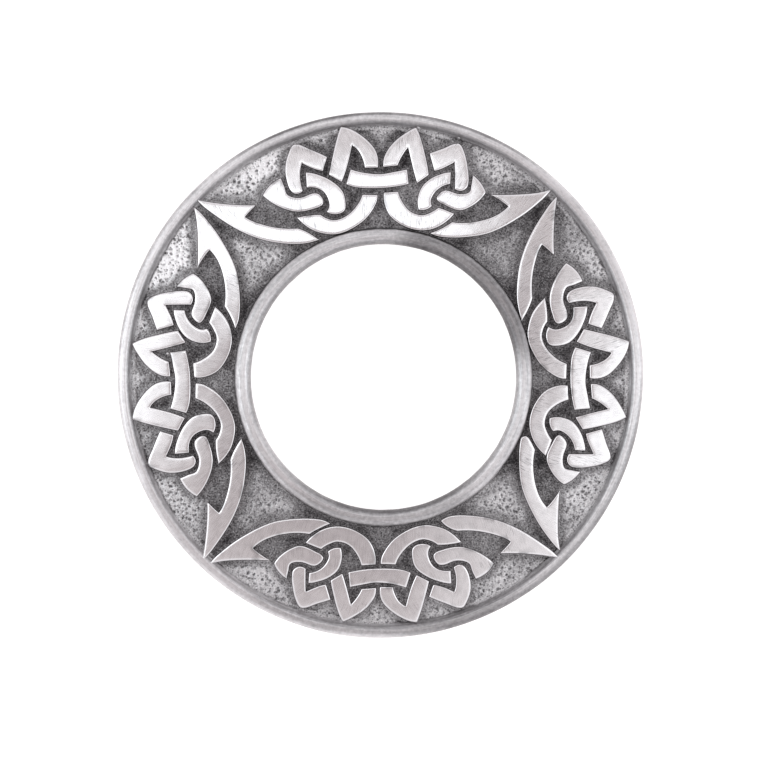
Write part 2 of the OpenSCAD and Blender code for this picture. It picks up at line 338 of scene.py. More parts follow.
r = reach(front)
angle = np.arctan2(front[:, 1], front[:, 0])
wall, shelter = sheltered(front)
ledge_here = ramp(mottle(front, 9.0, 5.0), -0.3, 0.0)
ledge_line = LEDGE_R + 0.2 * mottle(front, 1.4, 2.0)
ledge = ramp(r, ledge_line, ledge_line + LEDGE_W) * ledge_here
flash = sum(np.exp(-(((front - np.array(at)) / FLASH_R) ** 2).sum(1)) for at in FLASH_AT)
open_here = ramp(shelter, 0.15, 1.0) * (1 - 0.7 * ledge)
pit, stain = [value * open_here for value in pits(front, rng)]
height = dome(r) - pit + LEDGE_RISE * ledge + FLASH_RISE * flash
height += ROUGH_RISE * (mottle(front, ROUGH_SIZE, 4.0) + mottle(front, GRAIN_SIZE, 9.0))

# How far the ground is rubbed, from 0, black, to 1, bare, with painted light and shade added. It
# depends on how wide the gap between the straps is, and differs between the band of ground at the
# centre and the band at the rim.
# These values were set in rounds, from how much brighter or darker the render measured than the
# photograph for each width, and the last rows for each direction.
BAND_CHANGE_R = (27, 33)
WIDTH_STEP = 0.25
WIDTH_MOST = 2.9
INNER_BY_WIDTH = ((0.9, 1.2, 1.6, 1.9, 2.4), (0.25, 0.34, 0.35, 0.38, 0.44))
OUTER_BY_WIDTH = ((0.8, 1.1, 1.5), (0.28, 0.34, 0.38))
# Painted light and shade: the ground is made brighter or darker on some sides of the ring, where
# light falls on it so.
GROUND_PAINTED_LIGHT_BY_DIRECTION = (
    # band, direction and spread in degrees, how much brighter close to a wall, and in the open
    ("outer", 0, 12, -0.1, 0.0),
    ("outer", 45, 15, -0.1, -0.2),
    ("outer", 95, 18, -0.15, -0.1),
    ("outer", 135, 15, 0.0, -0.2),
    ("outer", 180, 12, 0.0, -0.1),
    ("outer", 225, 12, -0.05, -0.05),
    ("outer", 270, 30, 0.05, 0.0),
    ("outer", 315, 12, -0.05, -0.1),
    ("inner", 35, 30, -0.1, -0.15),
    ("inner", 75, 12, 0.1, 0.0),
    ("inner", 150, 20, -0.1, -0.05),
    ("inner", 210, 20, -0.1, -0.1),
    ("inner", 305, 20, 0.05, 0.05),
    ("inner", 332, 18, -0.15, -0.1),
)
RIM_LINE_R = 35.85
RIM_LINE_W = 0.12
LEDGE_BRIGHT = 0.72
FLASH_BRIGHT = 0.85
BACK_RUBBED = 0.6


def gap_widths(points):
    """Radius of the largest circle that fits between straps and rims over each point."""
    axis = np.arange(-RING_R, RING_R, WIDTH_STEP)
    count = len(axis)
    flat = np.stack(np.meshgrid(axis, axis, indexing="ij"), -1).reshape(-1, 2)
    room = np.where(under_straps(flat), 0, sheltered(flat)[1]).reshape(count, count)
    widest = np.zeros_like(room)
    for size in np.arange(WIDTH_STEP, WIDTH_MOST, WIDTH_STEP):
        n = round(size / WIDTH_STEP)
        fits = np.pad(room >= size, n)
        for i in range(-n, n + 1):
            for j in range(-n, n + 1):
                if i * i + j * j <= n * n:
                    widest[fits[n + i : n + i + count, n + j : n + j + count]] = size
    padded = np.pad(widest, 1, mode="edge")
    smooth = sum(padded[i : i + count, j : j + count] for i in range(3) for j in range(3)) / 9
    cell = np.clip(np.round((points + RING_R) / WIDTH_STEP).astype(int), 0, count - 1)
    return smooth[cell[:, 0], cell[:, 1]]


width = gap_widths(front)
outwards = ramp(r, *BAND_CHANGE_R)


def by_band(inner, outer):
    """A value at each point of the front, from the one of the inner band to that of the outer."""
    return inner + outwards * (outer - inner)


rubbed_and_painted_light = by_band(np.interp(width, *INNER_BY_WIDTH), np.interp(width, *OUTER_BY_WIDTH)) + 0.03
# Open ground is brighter away from walls, more so at the lower rim. At the upper left a painted
# highlight makes it brighter still, where it faces the light.
low_side = ramp(-front[:, 1] / RING_R, 0.0, 0.5) * outwards
open_ground = ramp(width, by_band(1.9, 1.4), by_band(2.5, 1.9))
open_ground *= ramp(shelter, by_band(0.5, 0.6) - 0.4 * low_side, 2.15 - 0.65 * low_side)
rubbed_and_painted_light += (by_band(0.22, 0.37) - 0.02 * low_side) * open_ground
rubbed_and_painted_light -= 0.15 * (1 - ramp(width, 0.9, 1.3)) * ramp(shelter, 0.3, 0.8)
# Painted highlight: open ground at the upper left, towards the light, is made brighter.
up_left = (front[:, 1] - front[:, 0]) / RING_R
upper_left_painted_highlight = ramp(up_left, by_band(0.45, 0.75), by_band(1.05, 1.25))
rubbed_and_painted_light += by_band(0.1, 0.3) * upper_left_painted_highlight * ramp(width, 1.7, 2.3) * ramp(shelter, 0.4, 1.8)
# Painted light and shade by direction round the ring, from the table above.
for band, towards, spread, by_wall, in_open in GROUND_PAINTED_LIGHT_BY_DIRECTION:
    here = facing(angle, towards, spread) * (outwards if band == "outer" else 1 - outwards)
    rubbed_and_painted_light += here * (by_wall + (in_open - by_wall) * ramp(shelter, 0.6, 1.6))
# Chance patches, dark pits, a painted highlight on the ground at the foot of each strap, and a
# ragged dark line at the outer rim.
rubbed_and_painted_light += 0.08 * mottle(front, 1.3, 3.0) + 0.09 * mottle(front, 5.0, 6.0)
rubbed_and_painted_light -= stain * np.clip(1.25 * rubbed_and_painted_light - 0.43, 0.05, 0.65)
# Painted highlight: the ground right at each strap wall is lightened.
rubbed_and_painted_light += 0.24 * (1 - ramp(wall, 0.08, 0.28))
rim_line = 0.13 * (1 + facing(angle, 180, 40) + facing(angle, -45, 25))
rubbed_and_painted_light -= rim_line * bump_at(r, RIM_LINE_R + 0.15 * mottle(front, 0.9, 14.0), RIM_LINE_W)
rubbed_and_painted_light += ledge * 0.6 * (LEDGE_BRIGHT - rubbed_and_painted_light)
rubbed_and_painted_light -= 0.08 * ledge_here * bump_at(r, ledge_line - 0.08, 0.1)
rubbed_and_painted_light += np.clip(flash, 0, 1) * (FLASH_BRIGHT - rubbed_and_painted_light)


def select_only(piece):
    bpy.ops.object.select_all(action="DESELECT")
    piece.select_set(True)
    bpy.context.view_layer.objects.active = piece


def add_piece(name, points, faces):
    """A mesh object from points in millimetres, alone in the selection."""
    mesh = bpy.data.meshes.new(name)
    points = [tuple(p) for p in np.asarray(points) * MM]
    mesh.from_pydata(points, [], [tuple(map(int, f)) for f in faces])
    piece = bpy.data.objects.new(name, mesh)
    bpy.context.scene.collection.objects.link(piece)
    select_only(piece)
    return piece


def edit(piece, *steps):
    """Runs edit-mode steps on the whole of a piece."""
    select_only(piece)
    bpy.ops.object.mode_set(mode="EDIT")
    bpy.ops.mesh.select_all(action="SELECT")
    for step in steps:
        step()
    bpy.ops.object.mode_set(mode="OBJECT")


def turn_outward():
    bpy.ops.mesh.normals_make_consistent(inside=False)


def smooth_but_for(edge_deg):
    """Smooth shading on what is selected, but for edges sharper than this."""
    bpy.ops.object.shade_smooth_by_angle(angle=math.radians(edge_deg))


def keep_values(piece, name, values):
    """Stores one number at each vertex, for the material to read."""
    attribute = piece.data.attributes.new(name, "FLOAT", "POINT")
    attribute.data.foreach_set("value", np.asarray(values, np.float32))


def edge_ring(points, r, count):
    """Which of the points lie on a circle, in order round it."""
    on = np.flatnonzero(abs(reach(points) - r) < WELD)
    assert len(on) == count
    return on[np.argsort(np.arctan2(points[on, 1], points[on, 0]))]


front_points = np.column_stack([front, height])
back_points = np.column_stack([back, dome(reach(back), DOME_R - PLATE_T)])
shift = len(front_points)
sides = []
for r_edge, edge, turn in ((PLATE_IN_R, inner_edge, 1), (PLATE_OUT_R, outer_edge, -1)):
    upper = edge_ring(front_points, r_edge, len(edge))
    lower = edge_ring(back_points, r_edge, len(edge)) + shift
    for i in range(len(edge)):
        sides.append((upper[i], upper[i - 1], lower[i - 1], lower[i])[::turn])
plate = add_piece(
    "ring_plate",
    np.concatenate([front_points, back_points]),
    [*front_faces, *(back_faces[:, ::-1] + shift), *sides],
)
edit(plate, turn_outward)
smooth_but_for(60)
# The stored values are the rubbed patina with painted light and shade added in.
keep_values(plate, "rubbed_and_painted_light", np.concatenate([rubbed_and_painted_light, np.full(len(back_points), BACK_RUBBED)]))

# Pewter from full black patina to bare bright metal, in even steps to the eye.
PATINA = {0.0: "#2B292A", 0.25: "#565354", 0.5: "#807D7E", 0.75: "#AAA7A8", 1.0: "#D6D2D3"}
GRIT = 0.22
PINHOLE_SPACING = 0.39


def linear(hex_colour):
    """A linear colour from an sRGB hex value such as #B0A8AA."""
    parts = [int(hex_colour[i : i + 2], 16) / 255 for i in (1, 3, 5)]
    return (*[c / 12.92 if c <= 0.04045 else ((c + 0.055) / 1.055) ** 2.4 for c in parts], 1)


def add(tree, kind, links=(), sockets=(), stops=(), **settings):
    """Adds a node, gives it its settings, values, links and colour stops, and returns it."""
    node = tree.nodes.new("ShaderNode" + kind)
    for key, value in settings.items():
        setattr(node, key, value)
    for key, value in dict(sockets).items():
        node.inputs[key].default_value = value
    for key, source in dict(links).items():
        tree.links.new(source, node.inputs[key])
    for i, (place, colour) in enumerate(dict(stops).items()):
        made = node.color_ramp.elements
        stop = made[0] if i == 0 else made[-1] if i == len(stops) - 1 else made.new(place)
        stop.position, stop.color = place, linear(colour)
    return node


def new_material(name):
    material = bpy.data.materials.new(name)
    material.use_nodes = True
    material.node_tree.nodes.clear()
    return material, material.node_tree


def pitted_pewter():
    """Lead-free pewter, cast rough, blackened and rubbed back: grey crests, dark low places."""
    material, tree = new_material("pitted_blackened_pewter")
    place = add(tree, "TexCoord").outputs["Object"]
    rubbed_and_painted_light = add(tree, "Attribute", attribute_name="rubbed_and_painted_light").outputs["Fac"]
    grit = add(
        tree, "TexNoise", {"Vector": place},
        {"Scale": 1 / (GRIT * MM), "Detail": 2, "Roughness": 0.6},
    )
    broken = add(
        tree, "MapRange", {"Value": grit.outputs["Fac"]},
        {"From Min": 0.2, "From Max": 0.8, "To Min": -0.38, "To Max": 0.38}, clamp=False,
    ).outputs[0]
    cells = add(tree, "TexVoronoi", {"Vector": place}, {"Scale": 1 / (PINHOLE_SPACING * MM)})
    pinholes = add(
        tree, "MapRange", {"Value": cells.outputs["Distance"]},
        {"From Min": 0.16, "From Max": 0.4, "To Min": -0.38, "To Max": 0.08},
    ).outputs[0]
    # Rubbed ground is smoother, and its pinholes stand out more.
    smoother = add(
        tree, "MapRange", {"Value": rubbed_and_painted_light},
        {"From Min": 0.3, "From Max": 0.8, "To Min": 0.95, "To Max": 0.5},
    )
    gritty = add(
        tree, "Math", {0: broken, 1: smoother.outputs[0], 2: rubbed_and_painted_light}, operation="MULTIPLY_ADD"
    )
    level = add(
        tree, "Math", {0: pinholes, 1: rubbed_and_painted_light, 2: gritty.outputs[0]}, operation="MULTIPLY_ADD"
    ).outputs[0]
    colour = add(tree, "ValToRGB", {"Fac": level}, stops=PATINA)
    dull = add(
        tree, "MapRange", {"Value": level},
        {"From Min": 0.1, "From Max": 0.9, "To Min": 0.52, "To Max": 0.36},
    )
    grained = add(tree, "Math", {0: broken, 1: pinholes}, operation="ADD")
    bump = add(
        tree, "Bump", {"Height": grained.outputs[0]}, {"Strength": 0.6, "Distance": 0.1 * MM}
    )
    metal = add(
        tree, "BsdfPrincipled",
        {"Base Color": colour.outputs[0], "Roughness": dull.outputs[0], "Normal": bump.outputs[0]},
        {"Metallic": 1.0},
    )
    add(tree, "OutputMaterial", {"Surface": metal.outputs[0]})
    return material


plate.data.materials.append(pitted_pewter())
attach(plate, "root")
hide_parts("cast_ring")

# Rims of the ring: a round bead on a skirt outside, and a wider one on a collar round the open
# centre, cast with the plate and dressed by hand with files and a fine brush, so neither is even.
OUTER_BEAD_R = 37.1
OUTER_BEAD_W = 1.8
OUTER_BEAD_Z = 4.2
OUTER_WEAR = 0.05
OUTER_WEAR_DEG = 12
OUTER_EASE = 0.12
OUTER_COVE = ((36.1, 4.0), (35.85, 4.26), (35.98, 4.34), (36.12, 4.44), (36.28, 4.6))
OUTER_DRESSED_Z = 3.6
SKIRT_R = (36.2, 37.75)
SKIRT_Z = 0
INNER_BEAD_R = 20.35
INNER_BEAD_W = 2.4
INNER_BEAD_Z = 7.372
INNER_WEAR = 0.04
INNER_WEAR_DEG = 6
INNER_EASE = 0.15
INNER_DRESSED_Z = 6.6
COLLAR_R = (19.35, 21.35)
COLLAR_Z = 4.85
RIM_STEPS = 480
RIM_WAVER = 0.05
BEAD_STEPS = 26
BEAD_WRAP = 0.35
BEAD_SINK = 0.62
COVE_GAP = 0.05


def bead_section(r, z, width, wear, wear_deg, low_r, low_z, ease, cove=()):
    """Section of a rim, as a loop of radii and heights.

    The bead is an open circle whose crown is worn flat at a lean. It stands on a square foot with
    eased corners, and its inner side may run out in a cove.
    """
    half = width / 2
    lean_r, lean_z = math.sin(math.radians(wear_deg)), math.cos(math.radians(wear_deg))
    bead = []
    for a in np.linspace(-BEAD_WRAP, math.pi + BEAD_WRAP, BEAD_STEPS):
        x, y = -half * math.cos(a), half * math.sin(a)
        over = max(0, x * lean_r + y * lean_z - (half - wear))
        bead.append((r + x - over * lean_r, z + y - over * lean_z))
    if cove:
        bead = [*cove, *[point for point in bead if point[0] > cove[-1][0] + COVE_GAP]]
    (left, right), top = low_r, z - half * BEAD_SINK
    return bead + [
        (right, top), (right, low_z + ease), (right - ease, low_z),
        (left + ease, low_z), (left, low_z + ease), (left, top),
    ]


def turned(name, section, middle):
    """A closed ring turned about an upright axis from its section."""
    bpy.ops.object.select_all(action="DESELECT")
    bpy.ops.mesh.primitive_circle_add(vertices=len(section), radius=MM)
    piece = bpy.context.object
    piece.name = piece.data.name = name
    for vert, (r, z) in zip(piece.data.vertices, section):
        vert.co = ((middle[0] + r) * MM, middle[1] * MM, z * MM)
    centre = (middle[0] * MM, middle[1] * MM, 0)
    edit(
        piece,
        lambda: bpy.ops.mesh.spin(
            steps=RIM_STEPS, angle=math.tau, center=centre, axis=(0, 0, 1)
        ),
        lambda: bpy.ops.mesh.remove_doubles(threshold=WELD * MM),
        turn_outward,
    )
    return piece


def round_places(piece, middle):
    """Where a rim's vertices are, in millimetres, and their radii and angles about its middle."""
    co = np.array([v.co for v in piece.data.vertices]) / MM
    away = co[:, :2] - middle
    return co, np.linalg.norm(away, axis=1), np.arctan2(away[:, 1], away[:, 0])


def hand_dress(piece, middle, from_z):
    """Lets a turned rim waver a little above a height, as files and casting leave it."""
    co, _, angle = round_places(piece, middle)
    slow, quick = np.array([
        (
            noise.noise((3 * math.cos(a), 3 * math.sin(a), from_z)),
            noise.noise((14 * math.cos(a), 14 * math.sin(a), from_z + z)),
        )
        for a, z in zip(angle, co[:, 2])
    ]).T
    waver = RIM_WAVER * ramp(co[:, 2], from_z, from_z + 1)
    co[:, :2] += unit(co[:, :2] - middle) * (waver * (slow + 0.5 * quick))[:, None]
    co[:, 2] += 0.6 * waver * quick
    piece.data.vertices.foreach_set("co", (co * MM).astype(np.float32).ravel())
    piece.data.update()


outer_section = bead_section(
    OUTER_BEAD_R, OUTER_BEAD_Z, OUTER_BEAD_W, OUTER_WEAR, OUTER_WEAR_DEG,
    SKIRT_R, SKIRT_Z, OUTER_EASE, OUTER_COVE,
)
inner_section = bead_section(
    INNER_BEAD_R, INNER_BEAD_Z, INNER_BEAD_W, INNER_WEAR, INNER_WEAR_DEG,
    COLLAR_R, COLLAR_Z, INNER_EASE,
)
outer_rim = turned("outer_rim", outer_section, MIDDLE)
inner_rim = turned("inner_rim", inner_section, HOLE_AT)
hand_dress(outer_rim, MIDDLE, OUTER_DRESSED_Z)
hand_dress(inner_rim, HOLE_AT, INNER_DRESSED_Z)

# How far the rims are rubbed: their crowns wholly, their feet hardly. Painted light and shade are
# added by direction: each rim is made brighter or darker on some sides, where light falls on it so.
# These values were set in the same way, by radius and direction.
RIM_PAINTED_LIGHT = {
    # direction and spread in degrees, radii where it comes in and goes out, how much brighter
    "outer_rim": (
        (-135, 60, None, None, 0.05),
        (-90, 40, None, (36.5, 36.9), -0.12),
        (-135, 35, None, (36.6, 36.9), 0.1),
        (90, 40, None, (36.7, 36.95), -0.1),
        (-90, 40, (36.5, 36.75), (37.2, 38.2), -0.19),
        (88, 42, (37.5, 37.75), None, -0.35),
        (90, 35, None, None, -0.08),
        (-45, 45, None, None, -0.06),
        (-45, 45, (37.1, 37.7), None, -0.3),
        (135, 50, (37.3, 37.8), None, -0.12),
    ),
    "inner_rim": (
        (-90, 60, None, (19.6, 20.1), -0.14),
        (-135, 30, None, (19.6, 20.1), 0.15),
        (45, 45, None, None, -0.32),
        (115, 60, None, None, -0.08),
        (-90, 45, None, None, -0.16),
    ),
}
RIM_RUBBED_LEAST = 0.2
FILE_W = 0.2
FILE_L = 5.0
DENT_SIZE = 0.5


def painted_rim_light(name, r, angle):
    """Painted light and shade on a rim at each vertex, by its radius and angle: how much brighter.
    """
    change = np.zeros(len(r))
    for towards, spread, comes_in, goes_out, brighter in RIM_PAINTED_LIGHT[name]:
        here = brighter * facing(angle, towards, spread)
        if comes_in:
            here *= ramp(r, *comes_in)
        if goes_out:
            here *= 1 - ramp(r, *goes_out)
        change += here
    return change


def outer_rim_rubbed_and_painted_light(r, angle, around, waver):
    # Rubbed crown, with painted light and shade by direction.
    rubbed_and_painted_light = 0.9 + 0.1 * ramp(r + waver, 36.6, 37.0) + painted_rim_light("outer_rim", r, angle)
    # Painted shade: the inner flank of the bead is made darker at the left and the right.
    rubbed_and_painted_light -= 0.16 * np.cos(angle) ** 2 * (1 - ramp(r, 36.5, 36.9))
    rubbed_and_painted_light -= 0.09 * bump_at(r, 36.6, 0.14)
    ragged = 0.34 - 0.12 * abs(np.sin(angle)) + 0.3 * mottle(around, 0.9, 14.0)
    return rubbed_and_painted_light - ragged * (1 - ramp(r + 0.5 * waver, 36.0, 36.14))


def inner_rim_rubbed_and_painted_light(r, angle, around, waver):
    rubbed_and_painted_light = 1 - 0.6 * ramp(r + waver + 0.08 * np.sin(angle), 21.36, 21.56)
    # Painted shade: a darker band across the bead, strongest at the left and right, and a darker
    # flank towards the hole, which reaches less far on the right.
    rubbed_and_painted_light -= (0.16 * abs(np.cos(angle)) + 0.04) * bump_at(r + waver, 20.85, 0.22)
    flank_r = r + waver - 0.2 * facing(angle, 0, 35)
    rubbed_and_painted_light -= 0.22 * (1 - ramp(flank_r, 19.6, 20.1))
    # Painted light and shade by direction.
    return rubbed_and_painted_light + painted_rim_light("inner_rim", flank_r, angle)


def keep_places(piece, name, places, round_length=0):
    """Stores a flat place in millimetres at each face corner, for the material to read.

    Places that run once round a ring have that length given, so no face spans the seam.
    """
    vert = np.zeros(len(piece.data.loops), int)
    piece.data.loops.foreach_get("vertex_index", vert)
    corners = np.asarray(places, float)[vert]
    if round_length:
        for face in piece.data.polygons:
            span = slice(face.loop_start, face.loop_start + face.loop_total)
            u = corners[span, 0]
            corners[span, 0] = np.where(u < u.max() - round_length / 2, u + round_length, u)
    layer = piece.data.uv_layers.new(name=name)
    layer.data.foreach_set("uv", corners.astype(np.float32).ravel())


def filed_pewter():
    """Pewter filed and brushed along the rim: satin streaks round the ring, dark in the dents."""
    material, tree = new_material("filed_pewter_rim")
    place = add(tree, "TexCoord")
    turning = add(tree, "UVMap", uv_map="turning")
    rubbed_and_painted_light = add(tree, "Attribute", attribute_name="rubbed_and_painted_light")
    stretch = add(
        tree, "Mapping", {"Vector": turning.outputs[0]}, {"Scale": (1 / FILE_L, 1 / FILE_W, 1)}
    )
    lines = add(
        tree, "TexNoise", {"Vector": stretch.outputs[0]},
        {"Scale": 1.0, "Detail": 4, "Roughness": 0.7},
    ).outputs["Fac"]
    dents = add(
        tree, "TexNoise", {"Vector": place.outputs["Object"]},
        {"Scale": 1 / (DENT_SIZE * MM), "Detail": 3, "Roughness": 0.6},
    ).outputs["Fac"]
    broken = add(
        tree, "MapRange", {"Value": lines},
        {"From Min": 0.25, "From Max": 0.75, "To Min": -0.14, "To Max": 0.1}, clamp=False,
    )
    blotched = add(
        tree, "MapRange", {"Value": dents},
        {"From Min": 0.3, "From Max": 0.7, "To Min": -0.09, "To Max": 0.07}, clamp=False,
    )
    streaked = add(
        tree, "Math", {0: rubbed_and_painted_light.outputs["Fac"], 1: broken.outputs[0]}, operation="ADD"
    )
    level = add(
        tree, "Math", {0: streaked.outputs[0], 1: blotched.outputs[0]}, operation="ADD"
    )
    colour = add(tree, "ValToRGB", {"Fac": level.outputs[0]}, stops=PATINA)
    dull = add(
        tree, "MapRange", {"Value": lines},
        {"From Min": 0.3, "From Max": 0.7, "To Min": 0.4, "To Max": 0.28},
    )
    dented = add(tree, "Bump", {"Height": dents}, {"Strength": 0.4, "Distance": 0.05 * MM})
    filed = add(
        tree, "Bump", {"Height": lines, "Normal": dented.outputs[0]},
        {"Strength": 0.5, "Distance": 0.04 * MM},
    )
    along = add(tree, "Tangent", direction_type="RADIAL", axis="Z")
    metal = add(
        tree, "BsdfPrincipled",
        {
            "Base Color": colour.outputs[0], "Roughness": dull.outputs[0],
            "Normal": filed.outputs[0], "Tangent": along.outputs[0],
        },
        {"Metallic": 1.0, "Anisotropic": 0.85, "Anisotropic Rotation": 0.25},
    )
    add(tree, "OutputMaterial", {"Surface": metal.outputs[0]})
    return material


rim_metal = filed_pewter()
for rim, middle, how_rubbed_and_lit in (
    (outer_rim, MIDDLE, outer_rim_rubbed_and_painted_light), (inner_rim, HOLE_AT, inner_rim_rubbed_and_painted_light)
):
    co, r, angle = round_places(rim, middle)
    around = np.column_stack([np.cos(angle), np.sin(angle)]) * r[:, None]
    rubbed_and_painted_light = how_rubbed_and_lit(r, angle, around, 0.1 * mottle(around, 1.2, 8.0))
    # The stored values are the rubbed patina with painted light and shade added in.
    keep_values(rim, "rubbed_and_painted_light", np.clip(rubbed_and_painted_light, RIM_RUBBED_LEAST, 1))
    mean_r = r.mean()
    keep_places(
        rim, "turning", np.column_stack([angle * mean_r, r + co[:, 2]]), mean_r * math.tau
    )
    select_only(rim)
    smooth_but_for(50)
    rim.data.materials.append(rim_metal)
    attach(rim, "root")
    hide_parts("cast_ring")

# Interlaced straps: thirteen raised pewter islands in each panel, flat on top, a little rounded
# at their edges and cast with the plate. Their tops were rubbed on a fine belt, about square to
# the rim.
EDGE_INSET = (0, 0.04, 0.1, 0.19, 0.32, 0.6)
EDGE_DROP = (0.14, 0.075, 0.03, 0.008, 0.0, 0.0)
ROW_INSETS = EDGE_INSET[1:5]
TOP_STEP = 0.5
TOP_GAP = 0.12
TOP_SINK = 0.04
TOP_WAVER = 0.03
TOP_TILT_DEG = 0.8
TOP_LIFT = (-0.07, 0.04)
WALL_OUT = 0.13
FOOT_LIFT = 0.05
ROOT_DEPTH = 0.45
TOP_RUBBED = 0.97
FOOT_RUBBED = 0.65
ROOT_RUBBED = 0.4
SCUFFED_TOWARDS = (0.8, 0.6)
BRUSH_TURN_DEG = 18
BRUSH_W = 0.09
BRUSH_L = 2.2
BRUSH_PATCHES = 50
# Scores are drawn about a pixel of the photograph wide, as coarse as they need to be to show.
SCORE_W = 0.17
SCORE_L = 1.3
STRAP_GRIT = 0.3


def strap_top(points, inwards, edge):
    """A strap's top, with rows of points along its edge and a grid within.

    Gives the points, the faces, which points are the edge's in order, and its outward normals.
    """
    filling = field(TOP_STEP)
    filling = filling[((filling > points.min(0)) & (filling < points.max(0))).all(1)]
    filling = filling[inside(filling, points)]
    if len(filling):
        filling = filling[nearest(filling, edge) > ROW_INSETS[-1] + TOP_GAP]
    rows = []
    for inset in ROW_INSETS:
        row = points + inwards * inset
        row = row[inside(row, points)]
        rows.append(row[nearest(row, edge) > 0.93 * inset])
    given = [Vector(p) for p in np.concatenate([points, *rows, filling])]
    n = len(points)
    made, _, faces, came_from, *_ = geometry.delaunay_2d_cdt(
        given, [], [list(range(n))], 1, 0.012
    )
    at = {i: k for k, sources in enumerate(came_from) for i in sources if i < n}
    rim_at = list(dict.fromkeys(at[i] for i in range(n) if i in at))
    out = -inwards[[min(i for i in came_from[k] if i < n) for k in rim_at]]
    return np.array([p[:] for p in made]), [tuple(f) for f in faces], rim_at, out


def strap_mesh(points, inwards, rng):
    """One strap: a top with a rounded edge, a wall with a little draft, a foot inside the plate.

    Gives its points and faces, and how far each point is rubbed and scuffed.
    """
    shares = (0, 0.25, 0.5, 0.75)
    edge = np.concatenate([points + (np.roll(points, -1, 0) - points) * t for t in shares])
    made, faces, rim_at, out = strap_top(points, inwards, edge)
    away = nearest(made, edge)
    away[rim_at] = 0

    tilt = np.radians(rng.normal(0, TOP_TILT_DEG / 2, 2))
    lift = (made - points.mean(0)) @ np.tan(tilt) + TOP_WAVER * mottle(made, 3.5, 7.0)
    top = dome(reach(made), DOME_R + RELIEF) - np.interp(away, EDGE_INSET, EDGE_DROP)
    top += np.clip(lift, *TOP_LIFT) - TOP_SINK
    foot_at = made[rim_at] + out * WALL_OUT
    foot_z = dome(reach(foot_at))

    # Patina leaks onto the top in places, its edge is polished brighter, and the straps at the
    # upper right are scuffed most.
    leak = ramp(mottle(made, 2.4, 12.0), 0.25, 0.5) * (1 - ramp(away, 0.05, 0.5))
    polish = (1 - ramp(away, 0.1, 0.24)) * (0.75 + 0.5 * mottle(made, 1.5, 21.0))
    rubbed_and_painted_light = TOP_RUBBED + 0.12 * np.clip(polish, 0, 1) - 0.3 * leak
    rubbed_and_painted_light += 0.08 * mottle(made, 1.0, 17.0)
    upper_right = made @ SCUFFED_TOWARDS / RING_R
    scuffed = ramp(mottle(made, 5.0, 30.0) + 0.3 * upper_right, 0.12, 0.5)

    k, m = len(made), len(rim_at)
    for i in range(m):
        j = (i + 1) % m
        faces.append((rim_at[i], k + i, k + j, rim_at[j]))
        faces.append((k + i, k + m + i, k + m + j, k + j))
    faces.append(tuple(range(k + m, k + 2 * m)))
    solid = np.concatenate([
        np.column_stack([made, top]),
        np.column_stack([foot_at, foot_z + FOOT_LIFT]),
        np.column_stack([foot_at, foot_z - ROOT_DEPTH]),
    ])
    rubbed_and_painted_light = np.concatenate([rubbed_and_painted_light, np.full(m, FOOT_RUBBED), np.full(m, ROOT_RUBBED)])
    return solid, faces, rubbed_and_painted_light, np.concatenate([scuffed, np.zeros(2 * m)])


rng = np.random.default_rng(SEED)
strap_points, strap_faces, strap_rubbed, strap_scuffed, brushing = [], [], [], [], []
count = 0
for points, inwards in drawn:
    solid, faces, rubbed_and_painted_light, scuffed = strap_mesh(points, inwards, rng)
    x, y = points.mean(0)
    turn = math.atan2(y, x) + math.radians(rng.normal(0, BRUSH_TURN_DEG))
    axes = np.array([(math.cos(turn), math.sin(turn)), (-math.sin(turn), math.cos(turn))])
    brushing.append(solid[:, :2] @ axes.T + rng.uniform(0, BRUSH_PATCHES, 2))
    strap_points.append(solid)
    strap_faces += [tuple(i + count for i in face) for face in faces]
    strap_rubbed.append(rubbed_and_painted_light)
    strap_scuffed.append(scuffed)
    count += len(solid)
interlace = add_piece("interlace", np.concatenate(strap_points), strap_faces)
keep_values(interlace, "rubbed_and_painted_light", np.concatenate(strap_rubbed))
keep_values(interlace, "scuffed", np.concatenate(strap_scuffed))
keep_places(interlace, "brushing", np.concatenate(brushing))
edit(interlace, turn_outward)
smooth_but_for(50)


